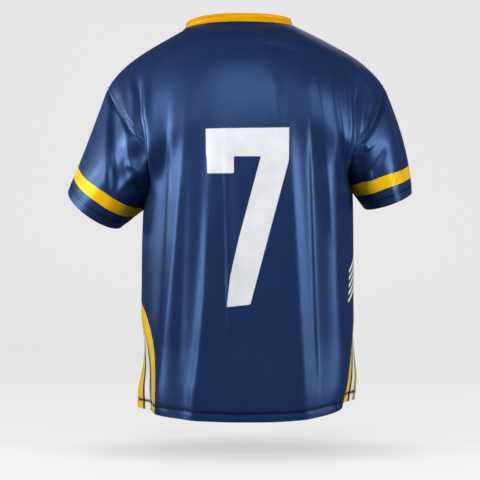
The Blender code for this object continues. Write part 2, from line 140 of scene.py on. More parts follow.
# Each fold is a ridge, or a trough with a height below zero. It runs from its top to its low end
# and may bow sideways. Its left flank has the width times 1 + skew, its right one 1 - skew. Its
# crest is round at 2 and sharper below that.
FOLD_COLUMNS = ("x_top", "z_top", "x_low", "z_low", "bow", "width", "skew", "crest", "height")
FOLDS = {
    "back": (
        # long folds that hang from the shoulder blades
        (-0.098, -0.095, -0.180, -0.820, 0.010, 0.018, -0.30, 1.8, 0.0052),
        (-0.102, -0.200, -0.120, -0.660, -0.002, 0.010, 0.00, 2.0, -0.0024),
        (-0.057, -0.120, -0.115, -0.820, 0.016, 0.017, -0.20, 1.9, 0.0068),
        (-0.062, -0.230, -0.060, -0.500, 0.000, 0.008, 0.00, 2.0, -0.0020),
        (-0.040, -0.150, -0.030, -0.580, 0.002, 0.010, -0.35, 1.8, 0.0046),
        (0.020, -0.200, 0.036, -0.690, 0.000, 0.026, 0.00, 2.0, -0.0030),
        (0.044, -0.080, 0.046, -0.210, 0.000, 0.010, 0.00, 1.8, 0.0018),
        (0.058, -0.075, 0.106, -0.820, 0.000, 0.016, 0.10, 2.0, 0.0052),
        (0.108, -0.110, 0.130, -0.700, 0.000, 0.014, -0.50, 2.0, -0.0046),
        (0.112, -0.030, 0.146, -0.400, 0.000, 0.016, -0.40, 1.4, 0.0054),
        (0.142, -0.150, 0.164, -0.640, 0.000, 0.014, 0.50, 1.8, 0.0034),
        (0.147, -0.060, 0.170, -0.250, -0.002, 0.010, -0.50, 1.3, 0.0048),
        (-0.138, -0.110, -0.166, -0.660, 0.000, 0.013, 0.30, 2.0, -0.0056),
        (0.166, -0.160, 0.172, -0.580, 0.000, 0.012, 0.00, 2.0, -0.0040),
        (-0.010, -0.540, -0.024, -0.700, 0.000, 0.016, 0.00, 2.0, 0.0016),
        # drag lines that run into the left armhole
        (-0.232, -0.085, -0.196, -0.205, 0.000, 0.009, 0.00, 1.8, 0.0030),
        (-0.208, -0.080, -0.181, -0.235, 0.002, 0.009, 0.20, 1.6, 0.0050),
        (-0.193, -0.085, -0.180, -0.300, 0.000, 0.008, 0.00, 2.0, -0.0090),
        (-0.182, -0.150, -0.178, -0.330, 0.000, 0.008, 0.00, 1.8, -0.0090),
        (-0.175, -0.080, -0.172, -0.300, -0.003, 0.009, 0.20, 1.6, 0.0050),
        # drag lines that run into the right armhole
        (0.170, -0.070, 0.182, -0.230, 0.000, 0.010, -0.30, 1.5, 0.0050),
        (0.188, -0.085, 0.186, -0.300, 0.000, 0.008, 0.00, 2.0, -0.0090),
        (0.240, -0.100, 0.176, -0.262, 0.004, 0.009, -0.30, 1.5, 0.0060),
        (0.224, -0.128, 0.182, -0.240, 0.003, 0.008, 0.00, 2.0, -0.0050),
        (0.180, -0.055, 0.228, -0.135, -0.002, 0.010, -0.30, 1.6, 0.0028),
        # short creases under the collar and near the hem
        (0.006, -0.014, 0.092, -0.028, 0.003, 0.0045, 0.00, 2.0, -0.0012),
        (0.030, -0.030, 0.104, -0.042, 0.003, 0.0050, 0.00, 2.0, 0.0012),
        (0.020, -0.042, 0.096, -0.056, 0.003, 0.0050, 0.00, 2.0, -0.0010),
        (-0.104, -0.600, -0.082, -0.720, 0.000, 0.006, 0.00, 2.0, 0.0006),
    ),
    "front": (
        (-0.110, -0.150, -0.138, -0.540, -0.004, 0.015, 0.20, 1.6, 0.0060),
        (-0.092, -0.330, -0.104, -0.600, 0.000, 0.014, 0.00, 2.0, -0.0042),
        (-0.040, -0.300, -0.062, -0.690, -0.003, 0.020, 0.00, 1.8, 0.0056),
        (-0.012, -0.420, -0.016, -0.690, 0.000, 0.018, 0.00, 2.0, -0.0036),
        (0.022, -0.240, 0.030, -0.620, 0.000, 0.015, 0.20, 1.8, 0.0036),
        (0.070, -0.220, 0.094, -0.690, -0.004, 0.018, -0.20, 1.6, 0.0058),
        (0.112, -0.300, 0.120, -0.560, 0.000, 0.012, 0.00, 2.0, -0.0038),
        (0.128, -0.130, 0.154, -0.520, -0.003, 0.014, -0.50, 1.3, 0.0068),
        (-0.150, -0.100, -0.172, -0.300, 0.000, 0.009, 0.00, 1.6, 0.0048),
        (-0.164, -0.110, -0.182, -0.250, 0.000, 0.007, 0.00, 2.0, -0.0044),
        (-0.206, -0.110, -0.184, -0.220, 0.003, 0.008, 0.20, 1.5, 0.0044),
        (0.158, -0.090, 0.180, -0.260, 0.000, 0.009, 0.00, 1.5, 0.0050),
        (0.172, -0.095, 0.184, -0.230, 0.000, 0.007, 0.00, 2.0, -0.0044),
        (0.212, -0.110, 0.186, -0.225, 0.003, 0.008, 0.00, 1.5, 0.0048),
        (-0.078, -0.140, -0.030, -0.200, 0.004, 0.012, 0.00, 2.0, 0.0026),
        (0.060, -0.130, 0.016, -0.195, -0.004, 0.012, 0.00, 2.0, 0.0024),
        (-0.130, -0.600, -0.142, -0.690, 0.000, 0.014, 0.00, 2.0, 0.0028),
        (0.136, -0.590, 0.146, -0.690, 0.000, 0.013, 0.00, 2.0, 0.0028),
    ),
}
FOLD_FADE = 0.3  # share of a fold's run over which it rises at each end
FLANK_TURN = 0.3
SIDE_BLEND = 0.05
RIPPLE_HEIGHT = 0.0004  # slight unevenness of knit that hangs free
RIPPLES_ACROSS = 30.0  # per metre
RIPPLES_DOWN = 7.0


def named(columns, rows):
    """A table's columns by name."""
    return dict(zip(columns, np.array(rows, float).T))


RING = named(RING_COLUMNS, RINGS)
SEAM = named(SEAM_COLUMNS, SEAMS)
HOLE = named(ARMHOLE_COLUMNS, ARMHOLE)
MIDDLE = named(MIDDLE_COLUMNS, MIDDLES)


def curve(low, high, leave, arrive, part):
    """The way from low to high, smooth, that leaves and arrives with the given slopes."""
    rest = 1 - part
    from_low = low * (1 + 2 * part) + leave * part
    from_high = high * (1 + 2 * rest) - arrive * rest
    return from_low * rest**2 + from_high * part**2


def through(stations, values, at):
    """A smooth curve through the rows of a table, read at any station between them."""
    slopes = np.gradient(values, stations)
    at = np.clip(at, stations[0], stations[-1])
    low = np.clip(np.searchsorted(stations, at, side="right") - 1, 0, len(stations) - 2)
    span = stations[low + 1] - stations[low]
    part = (at - stations[low]) / span
    return curve(values[low], values[low + 1], slopes[low] * span, slopes[low + 1] * span, part)


def smooth_step(value):
    value = np.clip(value, 0, 1)
    return value * value * (3 - 2 * value)


def unit(vectors):
    return vectors / np.linalg.norm(vectors, axis=-1, keepdims=True)


def shares(count):
    """Steps from 0 to 1, with narrow ones at the start."""
    first = len(EDGE_SHARES)
    return np.concatenate([EDGE_SHARES, np.linspace(FIRST_EVEN_SHARE, 1, count + 1 - first)])


def lengths_along(points, axis=0):
    """How much cloth lies before each point, along the rows or columns of a grid or one run."""
    steps = np.linalg.norm(np.diff(points, axis=axis), axis=-1)
    return np.insert(np.cumsum(steps, axis=axis), 0, 0, axis=axis)


def read_run(at, lengths, run):
    """A run of points or directions, read at lengths along it."""
    return np.stack([np.interp(at, lengths, run[:, k]) for k in range(3)], axis=-1)


def spread(points, parts):
    """Points set along a run of points, at parts of its length."""
    lengths = lengths_along(points)
    return read_run(parts * lengths[-1], lengths, points)


def outward(points):
    """Away from the body, and up at the shoulders."""
    x, y, z = np.moveaxis(points, -1, 0)
    up = np.maximum(z - SHOULDER_TURN_Z, 0) / SHOULDER_TURN_REACH**2
    return unit(np.stack([x / BODY_HALF_WIDTH**2, y / BODY_HALF_DEPTH**2, up], axis=-1))


def fold_height(points, folds):
    """How far the folds lift each point, from its place seen from behind or before."""
    x, z = points[..., 0], points[..., 2]
    lift = np.zeros(x.shape)
    for row in folds:
        fold = dict(zip(FOLD_COLUMNS, row))
        run_x, run_z = fold["x_low"] - fold["x_top"], fold["z_low"] - fold["z_top"]
        length = math.hypot(run_x, run_z)
        from_x, from_z = x - fold["x_top"], z - fold["z_top"]
        along = (from_x * run_x + from_z * run_z) / length**2
        across = (from_z * run_x - from_x * run_z) / length
        across = across - fold["bow"] * 4 * along * (1 - along)
        width = fold["width"] * (1 + fold["skew"] * np.tanh(-across / (FLANK_TURN * fold["width"])))
        ends = smooth_step(along / FOLD_FADE) * smooth_step((1 - along) / FOLD_FADE)
        lift += fold["height"] * ends * np.exp(-(np.abs(across / width) ** fold["crest"]))
    return lift


def ripples(points):
    """Slight swells of the cloth, long in the way that it hangs."""
    flat = points.reshape(-1, 3)
    stretched = flat * (RIPPLES_ACROSS, RIPPLES_ACROSS, RIPPLES_DOWN)
    swell = np.array([noise.noise(Vector(place)) for place in stretched.tolist()])
    return (RIPPLE_HEIGHT * swell).reshape(points.shape[:-1])


def lifted(points, back_folds, front_folds):
    """How far the cloth is lifted at each point by its folds, behind and before, and ripples."""
    behind = smooth_step(-points[..., 1] / SIDE_BLEND)
    before = smooth_step(points[..., 1] / SIDE_BLEND)
    lift = fold_height(points, back_folds) * behind
    lift += fold_height(points, front_folds) * before + ripples(points)
    return lift[..., None]


def creased(points):
    """Cloth of the body with its folds."""
    return points + outward(points) * lifted(points, FOLDS["back"], FOLDS["front"])


def ring(drop):
    """A closed section of the body, from the left side over the back, with its lengths."""
    left, right, back, front = (through(RING["drop"], RING[name], drop) for name in RING_COLUMNS[1:])
    turn = np.linspace(0, 2 * math.pi, RING_SAMPLES + 1)
    across, behind = np.cos(turn), np.sin(turn)
    power = 2 / ROUNDNESS
    x = -np.where(across > 0, left, right) * np.sign(across) * np.abs(across) ** power
    y = -np.where(behind > 0, back, front) * np.sign(behind) * np.abs(behind) ** power
    steps = np.hypot(np.diff(x), np.diff(y))
    return x, y, np.concatenate([[0], np.cumsum(steps)])


def seam_places(drop):
    """Lengths round the ring to the four side seams and to the middles of back and front."""
    lengths = ring(drop)[2]
    quarter = RING_SAMPLES // 4
    total = lengths[-1]
    at = {name: float(through(SEAM["drop"], SEAM[name], drop)) for name in SEAM_COLUMNS[1:]}
    return {
        "left_back": at["back_left"],
        "back": lengths[quarter],
        "right_back": lengths[2 * quarter] - at["back_right"],
        "right_front": lengths[2 * quarter] + at["front"],
        "front": lengths[3 * quarter],
        "left_front": total - at["front"],
        "left_back_again": total + at["back_left"],
    }


def ring_stretch(drop, start, end, parts):
    """Points of the ring between two lengths, dropped to the hem's line and flared."""
    x, y, lengths = ring(drop)
    at = start + (end - start) * parts
    total = lengths[-1]
    px = np.interp(at, lengths[:-1], x[:-1], period=total)
    py = np.interp(at, lengths[:-1], y[:-1], period=total)
    back = np.maximum(-py / RING["back"][-1], 0)
    right = np.maximum(px / RING["right"][-1], 0)
    hem = HEM_DROP + TAIL_DROP * back**4 - RIGHT_LIFT * right**4
    underarm = UNDERARM_DROP - RIGHT_UNDERARM_LIFT * right**ROW_DROOP
    share = (drop - UNDERARM_DROP) / (HEM_DROP - UNDERARM_DROP)
    points = np.column_stack([px, py, -(underarm + (hem - underarm) * share)])
    places = seam_places(drop)
    pull = np.zeros(len(parts))
    for name in ("left_back", "right_back", "left_back_again"):
        pull += np.exp(-(((at - places[name]) / FLARE_WIDTH) ** 2))
    low = smooth_step((drop - FLARE_TOP_DROP) / (HEM_DROP - FLARE_TOP_DROP))
    return points - outward(points) * (FLARE_DEPTH * low * pull)[:, None]


def yoke_half(rise, side, face):
    """Half a row above the underarm, from the armhole to the middle of the back or front."""
    sign = -1 if side == "left" else 1
    edge_x = sign * through(HOLE["rise"], HOLE[side], rise)
    edge_z = through(HOLE["rise"], HOLE[side + "_z"], rise)
    edge_y = through(HOLE["rise"], HOLE["depth"], rise)
    middle_y = through(MIDDLE["rise"], MIDDLE[face + "_depth"], rise)
    middle_z = through(MIDDLE["rise"], MIDDLE[face + "_z"], rise)
    middle_x = NECK_X * smooth_step(rise)
    uncurl = smooth_step(rise / CURL_RISE)
    if face == "front":
        edge_y *= 1 - (1 - FRONT_ARMHOLE_SHARE) * uncurl
    bow = ROUNDNESS + (2 - ROUNDNESS) * uncurl
    curl = 1 / ROUNDNESS + (1 - 1 / ROUNDNESS) * uncurl
    out = np.cos(np.linspace(0, math.pi / 2, ROW_SAMPLES))
    x = middle_x + (edge_x - middle_x) * out
    y = edge_y + (middle_y - edge_y) * (1 - out**bow) ** curl
    z = middle_z + (edge_z - middle_z) * out**ROW_DROOP
    return np.column_stack([x, -y if face == "back" else y, z])


def neckline(side, face):
    """Half the neckline, from the neck point at the shoulder to the middle."""
    sign = -1 if side == "left" else 1
    part = np.linspace(0, 1, ROW_SAMPLES)
    turn = part * math.pi / 2
    if face == "back":
        x = NECK_X + sign * NECK_HALF_WIDTH * np.cos(turn)
        y = -NECK_BACK_DEPTH * np.sin(turn)
        z = NECK_Z[side] + (NECK_BACK_Z - NECK_Z[side]) * np.sin(turn)
    else:
        x = NECK_X + sign * NECK_HALF_WIDTH * (1 - part**V_SPREAD)
        y = NECK_FRONT_DEPTH * np.sin(turn)
        z = NECK_Z[side] + (NECK_FRONT_Z - NECK_Z[side]) * part**V_SPREAD
    return np.column_stack([x, y, z])


def shoulder_seam(side):
    """The seam over the shoulder, from its tip to the neck point."""
    sign = -1 if side == "left" else 1
    neck_x = NECK_X + sign * NECK_HALF_WIDTH
    tip_x, tip_z = sign * HOLE[side][-1], HOLE[side + "_z"][-1]
    out = np.linspace(1, 0, ROW_SAMPLES)
    fall = SHOULDER_SLOPE_SHARE * out + (1 - SHOULDER_SLOPE_SHARE) * out**TIP_ROUND_POWER
    drop = NECK_Z[side] + (tip_z - NECK_Z[side]) * fall
    return np.column_stack([neck_x + (tip_x - neck_x) * out, 0 * out, drop])


def top_half(side, face, columns):
    """Half a panel's top edge, and which way the cloth runs as it reaches it: level at the
    shoulder, and steeper at the neck."""
    neck_columns = round(columns * NECK_SHARE)
    forward = 1 if face == "back" else -1
    seam = spread(shoulder_seam(side), shares(columns - neck_columns))
    neck = spread(neckline(side, face), np.linspace(0, 1, neck_columns + 1))
    edge = np.vstack([seam[:-1], neck])
    edge[:, 1] -= SEAM_GAP / 2 * forward
    from_tip = np.arange(columns + 1)
    at_neck = smooth_step((from_tip - (columns - neck_columns)) / neck_columns)
    rise = NECK_CLIMB * at_neck
    return edge, unit(np.column_stack([0 * rise, forward * (1 - NECK_CLIMB_TURN * at_neck), rise]))


def yoke_rows(side, face, columns):
    """Half of a panel above the underarm, row by row, each from the armhole to the middle."""
    rises = np.linspace(0, YOKE_RISE, YOKE_ROWS + 1)
    parts = shares(columns)
    rows = [spread(yoke_half(rise, side, face), parts) for rise in rises]
    low = rows[-1]
    before = spread(yoke_half(YOKE_RISE - RISE_STEP, side, face), parts)
    high, way = top_half(side, face, columns)
    reach = np.linalg.norm(high - low, axis=1)[:, None]
    leave = unit(low - before) * reach
    arrive = way * reach
    for part in 1 - np.linspace(0, 1, SHOULDER_ROWS + 1)[-2::-1] ** SHOULDER_ROW_POWER:
        rows.append(curve(low, high, leave, arrive, part))
    return rows


def panel(face):
    """The back or the front as rows of points, from the hem to the shoulder seams and neck."""
    columns = HALF_COLUMNS[face]
    inset = SEAM_GAP / 2 if face == "back" else -SEAM_GAP / 2
    rows = []
    for drop in body_drops():
        at = seam_places(drop)
        one = ring_stretch(drop, at[f"left_{face}"] + inset, at[face], shares(columns))
        other = ring_stretch(drop, at[f"right_{face}"] - inset, at[face], shares(columns))
        rows.append(np.vstack([one[:-1], other[::-1]]))
    left, right = yoke_rows("left", face, columns), yoke_rows("right", face, columns)
    rows += [np.vstack([one[:-1], other[::-1]]) for one, other in zip(left, right)]
    first_yoke_row = len(body_drops())
    return hem_pressed(seam_dipped(creased(eased(np.array(rows), first_yoke_row)), first_yoke_row))


def eased(points, row):
    """Rows smoothed down the cloth on both sides of a row, where two shapes meet."""
    near = np.exp(-(((np.arange(len(points)) - row) / EASE_ROWS) ** 2))[1:-1, None, None]
    for _ in range(EASE_ROUNDS):
        points[1:-1] += EASE_STEP * near * ((points[:-2] + points[2:]) / 2 - points[1:-1])
    return points


def body_drops():
    even = np.linspace(HEM_DROP - EVEN_ROWS_RISE, UNDERARM_DROP, BODY_ROWS + 1)[:-1]
    return np.concatenate([HEM_DROP - np.array(HEM_STEPS), even])


def seam_dipped(points, sewn_down_from=None):
    """Both side edges of a piece pulled in at their seams, and again along the second row of
    stitches on the rows that have one."""
    from_first = lengths_along(points, axis=1)
    from_last = from_first[:, -1:] - from_first
    from_edge = np.minimum(from_first, from_last)
    dip = np.exp(-((from_edge / SEAM_DIP_WIDTH) ** 2))
    if sewn_down_from is not None:
        sewn = np.exp(-(((from_edge - SEWN_AT) / SEWN_WIDTH) ** 2))
        dip[sewn_down_from:] += SEWN_DIP_SHARE * sewn[sewn_down_from:]
    return points - outward(points) * (SEAM_DIP * dip)[..., None]


def hem_pressed(points):
    """The rows of the body from the hem up, pressed in where the hem is sewn."""
    up = lengths_along(points)
    press = HEM_PRESS * np.exp(-(((up - HEM_SEAM) / HEM_PRESS_WIDTH) ** 2))
    return points - outward(points) * press[..., None]


def srgb(text):
    """A colour written as sRGB hex, as linear numbers."""
    values = [int(text[k : k + 2], 16) / 255 for k in (1, 3, 5)]
    return [v / 12.92 if v <= 0.04045 else ((v + 0.055) / 1.055) ** 2.4 for v in values] + [1]


def new_material(name):
    material = bpy.data.materials.new(name)
    material.use_nodes = True
    return material, material.node_tree.nodes["Principled BSDF"]


def set_inputs(material, node, inputs):
    """A node's inputs set to a value or joined to a socket."""
    for name, value in inputs.items():
        if isinstance(value, bpy.types.NodeSocket):
            material.node_tree.links.new(value, node.inputs[name])
        else:
            node.inputs[name].default_value = value


def add_node(material, kind, inputs=None, settings=None):
    """A node with its settings and its inputs."""
    node = material.node_tree.nodes.new("ShaderNode" + kind)
    for name, value in (settings or {}).items():
        setattr(node, name, value)
    set_inputs(material, node, inputs or {})
    return node


def ranged(material, value, span=(0, 1), result=(0, 1), ease="LINEAR"):
    """A value moved from one span of numbers to another."""
    ends = zip(("From Min", "From Max", "To Min", "To Max"), span + result)
    inputs = {"Value": value, **dict(ends)}
    return add_node(material, "MapRange", inputs, {"interpolation_type": ease}).outputs[0]


def mixed(material, share, first, second):
    """Two colours mixed by a socket."""
    inputs = {0: share, MIX_FIRST: first, MIX_SECOND: second}
    return add_node(material, "Mix", inputs, {"data_type": "RGBA"}).outputs[MIX_COLOUR]


# Polyester double knit, calendered smooth on its face: even filament yarn gives a satin light
# that runs along each fold, and a slight bloom at the edges. Its courses are 0.5 mm apart in
# life, and are drawn 2.4 mm apart so that they show.
COURSE = 0.0024
WAVE_PERIOD = 2 * math.pi / 20  # of the wave texture at scale 1
PRINT_EDGE = 0.0004
DYE_SHADES = (0.93, 1.07)  # dye takes a little unevenly
COURSE_SHADES = (0.97, 1.03)
MIX_FIRST = 6  # the mix node's sockets for colours
MIX_SECOND = 7
MIX_COLOUR = 2


def knit(name, colour, prints=(), bloom="#85B5FF", roughness=0.39, specular=0.8, sheen=0.05):
    """The outer face of the knit, with any printed areas and painted shade lines, each an
    attribute that is above zero inside its outline."""
    material, shader = new_material(name)
    place = add_node(material, "UVMap", None, {"uv_map": "UVMap"}).outputs[0]
    cloudy = add_node(material, "TexNoise", {"Vector": place, "Scale": 22, "Detail": 3}).outputs[0]
    shade = ranged(material, cloudy, (0.3, 0.7), DYE_SHADES)
    dyed = srgb(colour)
    for print_name, print_colour in prints:
        area = add_node(material, "Attribute", None, {"attribute_name": print_name}).outputs["Fac"]
        inside = ranged(material, area, (-PRINT_EDGE, PRINT_EDGE))
        dyed = mixed(material, inside, dyed, srgb(print_colour))
    courses = add_node(
        material,
        "TexWave",
        {"Vector": place, "Scale": WAVE_PERIOD / COURSE, "Distortion": 0.6, "Detail": 1},
        {"wave_type": "BANDS", "bands_direction": "Y"},
    ).outputs["Fac"]
    stripe = ranged(material, courses, result=COURSE_SHADES)
    level = add_node(material, "Math", {0: shade, 1: stripe}, {"operation": "MULTIPLY"}).outputs[0]
    base = dyed if isinstance(dyed, bpy.types.NodeSocket) else dyed[:3]
    scaled = add_node(material, "VectorMath", {0: base, "Scale": level}, {"operation": "SCALE"})
    relief = add_node(material, "Bump", {"Height": courses, "Strength": 0.25, "Distance": 0.0002})
    finish = {
        "Base Color": scaled.outputs[0],
        "Normal": relief.outputs[0],
        "Roughness": roughness,
        "IOR": 1.62,  # polyester
        "Specular IOR Level": specular,
        "Sheen Weight": sheen,
        "Sheen Roughness": 0.35,
        "Sheen Tint": srgb(bloom),
        "Specular Tint": srgb(bloom),
    }
    set_inputs(material, shader, finish)
    return material


# The reverse of the knit isn't pressed and takes less dye, so it is duller and more even.
def reverse(name, colour):
    return knit(name, colour, bloom="#FFFFFF", roughness=0.75, specular=0.2, sheen=0.1)


def body_lines_and_painted_shade(points):
    """How far inside the dark lines at hem and neck each point of a panel is: at the hem the
    dark stitching with painted shade of the groove it presses, at the neck painted shade under
    the collar.
    """
    up = lengths_along(points)
    at_neck = np.abs(points[-1, :, 0] - NECK_X) < NECK_HALF_WIDTH
    down = np.where(at_neck, up[-1] - up, 1)
    return np.maximum(HEM_LINE_AND_PAINTED_SHADE_HALF - np.abs(up - HEM_SEAM), NECK_PAINTED_SHADE - down)


def laid_grid(name, points):
    """A grid laid over rows of points."""
    count_v, count_u = points.shape[:2]
    bpy.ops.object.select_all(action="DESELECT")
    bpy.ops.mesh.primitive_grid_add(x_subdivisions=count_u - 1, y_subdivisions=count_v - 1, size=1)
    grid = bpy.context.object
    grid.name = grid.data.name = name
    grid.data.vertices.foreach_set("co", points.reshape(-1).astype(np.float32))
    return grid


def lay_cloth(name, points, materials, closed=False, thickness=CLOTH, prints=None):
    """Cloth laid over rows of points, given its thickness inwards. closed joins its first and
    last columns."""
    cloth = laid_grid(name, points)
    u = lengths_along(points, axis=1)
    u -= u[:, u.shape[1] // 2, None]
    v = lengths_along(points).mean(axis=1)
    uv = np.stack([u, np.broadcast_to(v[:, None], u.shape)], axis=-1).reshape(-1, 2)
    corners = np.empty(len(cloth.data.loops), np.int32)
    cloth.data.loops.foreach_get("vertex_index", corners)
    cloth.data.uv_layers[0].name = "UVMap"
    cloth.data.uv_layers[0].uv.foreach_set("vector", uv[corners].reshape(-1).astype(np.float32))
    for print_name, values in (prints or {}).items():
        area = cloth.data.attributes.new(print_name, "FLOAT", "POINT")
        area.data.foreach_set("value", values.reshape(-1).astype(np.float32))
    for material in materials:
        cloth.data.materials.append(material)
    if closed:
        weld = cloth.modifiers.new("weld", "WELD")
        weld.merge_threshold = 0.00001
        bpy.ops.object.modifier_apply(modifier=weld.name)
    wall = cloth.modifiers.new("wall", "SOLIDIFY")
    wall.thickness = thickness
    wall.offset = -1
    wall.material_offset = 1
    wall.material_offset_rim = 0
    bpy.ops.object.modifier_apply(modifier=wall.name)
    bpy.ops.object.shade_smooth_by_angle(angle=math.radians(50))
    return cloth


def inside_by(x, z, outline):
    """How far inside a convex outline, given clockwise, each place is, below zero outside it."""
    ends = np.array(outline)
    inside = np.full(x.shape, np.inf)
    for (ax, az), (bx, bz) in zip(ends, np.roll(ends, -1, axis=0)):
        length = math.hypot(bx - ax, bz - az)
        inside = np.minimum(inside, ((x - ax) * (bz - az) - (z - az) * (bx - ax)) / length)
    return inside


NAVY = "#172C56"
GOLD = "#F5AC00"
WHITE = "#FAFBFC"
NUMBER_PARTS = (
    ((-0.072, -0.189), (0.070, -0.187), (0.0695, -0.236), (-0.071, -0.236)),
    ((-0.072, -0.189), (-0.024, -0.189), (-0.024, -0.265), (-0.069, -0.265)),
    ((0.022, -0.236), (0.0695, -0.236), (0.069, -0.244), (0.004, -0.488))
    + ((-0.036, -0.492), (-0.030, -0.439), (-0.015, -0.373)),
)
# Five plain slanted dashes beside the right side seam.
DASHES = 5
DASH_TOP = -0.398
DASH_PITCH = 0.0130
DASH_HALF_HEIGHT = 0.0034
DASH_START = 0.008
DASH_LENGTH = 0.047
DASH_SLANT = 0.75
GOLD_INK = "#FFD21E"
# The gold of the left side stripe runs past its seam onto the back, in this band.
GOLD_COLUMNS = ("z", "outer_x", "seam_side_x")
GOLD_BAND = (
    (-0.480, -0.1930, -0.230),
    (-0.504, -0.1800, -0.210),
    (-0.531, -0.1710, -0.190),
    (-0.565, -0.1640, -0.176),
    (-0.608, -0.1610, -0.170),
    (-0.650, -0.1610, -0.169),
    (-0.690, -0.1625, -0.169),
)
SEWN_LINE_AND_PAINTED_SHADE = "#060A18"  # dark of the dense coverstitch thread, and painted shade in its pressed groove and under the collar
# half width of the dark band along the hem's stitching: dark thread and painted shade of its pressed
# groove
HEM_LINE_AND_PAINTED_SHADE_HALF = 0.0016
# depth of the painted shade just under the collar, along the neckline
NECK_PAINTED_SHADE = 0.0014

navy_back = knit(
    "satin_knit_navy_with_number",
    NAVY,
    [("white_print", WHITE), ("gold_print", GOLD_INK), ("sewn_line_and_painted_shade", SEWN_LINE_AND_PAINTED_SHADE)],
)
navy_reverse = reverse("knit_reverse_navy", "#2C3B5E")
back_points = panel("back")
number_parts = [inside_by(back_points[..., 0], back_points[..., 2], part) for part in NUMBER_PARTS]
in_number = np.max(number_parts, axis=0)
in_number[back_points[..., 1] > 0] = -1
from_seam = lengths_along(back_points[:, ::-1], axis=1)[:, ::-1]
along_dash = np.minimum(from_seam - DASH_START, DASH_START + DASH_LENGTH - from_seam)
for number in range(DASHES):
    middle_z = DASH_TOP - DASH_PITCH * number - DASH_SLANT * (from_seam - DASH_START)
    height = DASH_HALF_HEIGHT - np.abs(back_points[..., 2] - middle_z)
    in_number = np.maximum(in_number, np.minimum(along_dash, height))
gold = named(GOLD_COLUMNS, GOLD_BAND)
outer, seam_side = (
    through(-gold["z"], gold[name], -back_points[..., 2]) for name in GOLD_COLUMNS[1:]
)
in_gold = np.minimum(outer - back_points[..., 0], back_points[..., 0] - seam_side)
in_gold = np.minimum(in_gold, gold["z"][0] - back_points[..., 2])
back = lay_cloth(
    "back_panel",
    back_points,
    [navy_back, navy_reverse],
    prints={"white_print": in_number, "gold_print": in_gold, "sewn_line_and_painted_shade": body_lines_and_painted_shade(back_points)},
)
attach(back, "root")
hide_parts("back")

# Front panel. The same knit with nothing printed on it, cut with a V neckline and sewn to the
# back over the shoulders.
navy_plain = knit("satin_knit_navy", NAVY, [("sewn_line_and_painted_shade", SEWN_LINE_AND_PAINTED_SHADE)])
front_points = panel("front")[:, ::-1]
front = lay_cloth(
    "front_panel",
    front_points,
    [navy_plain, navy_reverse],
    prints={"sewn_line_and_painted_shade": body_lines_and_painted_shade(front_points)},
)
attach(front, "root")
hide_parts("front")

# Side panels. Long wedges of the same knit, 14 mm wide at the underarm and about ten times that
# at the hem, printed with gold, navy and white stripes that fan out from the side.
SIDE_COLUMNS = 44
SIDE_TOP_SHARE = 0.15
STRIPES = {
    "left": ((0.0020, 0.0180, "white_print"), (0.0240, 0.0900, "gold_print")),
    "right": (
        (-0.010, 0.0130, "gold_print"),
        (0.0190, 0.0300, "white_print"),
        (0.0340, 0.0900, "gold_print"),
    ),
}
STRIPE_TOP = {"left": -0.460, "right": -0.512}
STRIPE_SLOPE = 0.9
PEAK_COSINE = 0.7  # makes a height under the slanted peak a distance from it
INK_MARGIN = 0.003
STRIPE_TAPER = 0.09
STRIPE_CLOSE = 0.25  # at the top the stripes have this share of their places at the hem
navy_side = knit(
    "satin_knit_striped",
    NAVY,
    [("gold_print", GOLD_INK), ("white_print", WHITE), ("sewn_line_and_painted_shade", SEWN_LINE_AND_PAINTED_SHADE)],
    bloom="#F4E4B8",
)


def side_panel(side):
    """Points of a side panel, and how far inside its gold and its white stripes they lie."""
    rows = []
    ends = ("left_front", "left_back_again") if side == "left" else ("right_back", "right_front")
    half = shares(SIDE_COLUMNS // 2) / 2
    parts = np.concatenate([half[:-1], 1 - half[::-1]])
    for drop in np.append(body_drops(), UNDERARM_DROP):
        at = seam_places(drop)
        start, end = at[ends[0]] + SEAM_GAP / 2, at[ends[1]] - SEAM_GAP / 2
        rows.append(ring_stretch(drop, start, end, parts))
    points = hem_pressed(seam_dipped(creased(np.array(rows))))
    back_edge = back_points[: len(rows), 0 if side == "left" else -1]
    front_edge = front_points[: len(rows), -1 if side == "left" else 0]
    first, last = (front_edge, back_edge) if side == "left" else (back_edge, front_edge)
    to_first = first + SEAM_GAP * unit(points[:, 1] - points[:, 0]) - points[:, 0]
    to_last = last + SEAM_GAP * unit(points[:, -2] - points[:, -1]) - points[:, -1]
    share = np.linspace(0, 1, points.shape[1])[:, None]
    points = points + to_first[:, None] * (1 - share) + to_last[:, None] * share
    points[-1] += (points[-2] - points[-1]) * SIDE_TOP_SHARE
    length = lengths_along(points, axis=1)
    from_seams = np.minimum(length, length[:, -1:] - length)
    peak = STRIPE_TOP[side] - STRIPE_SLOPE * (length[:, -1:] / 2 - from_seams)
    spread_out = smooth_step((STRIPE_TOP[side] - points[..., 2]) / STRIPE_TAPER)
    across = from_seams / (STRIPE_CLOSE + (1 - STRIPE_CLOSE) * spread_out)
    areas = {name: np.full(across.shape, -1.0) for name in ("gold_print", "white_print")}
    for start, end, print_name in STRIPES[side]:
        inside = np.minimum(across - start, end - across)
        inside = np.minimum(inside, PEAK_COSINE * (peak - points[..., 2]))
        areas[print_name] = np.maximum(areas[print_name], inside)
    areas["sewn_line_and_painted_shade"] = body_lines_and_painted_shade(points)
    return points, areas


side_points = {}
sides = {}
for side in ("left", "right"):
    side_points[side], areas = side_panel(side)
    sides[side] = lay_cloth(
        f"side_panel_{side}_cloth", side_points[side], [navy_side, navy_reverse], prints=areas
    )
    sides[side].data.materials.append(navy_plain)
    inks = [sides[side].data.attributes[name].data for name in ("gold_print", "white_print")]
    for face in sides[side].data.polygons:
        near = any(ink[corner].value > -INK_MARGIN for ink in inks for corner in face.vertices)
        if face.material_index == 0 and not near:
            face.material_index = 2
    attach(sides[side], "root")
    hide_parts(f"side_panel_{side}")

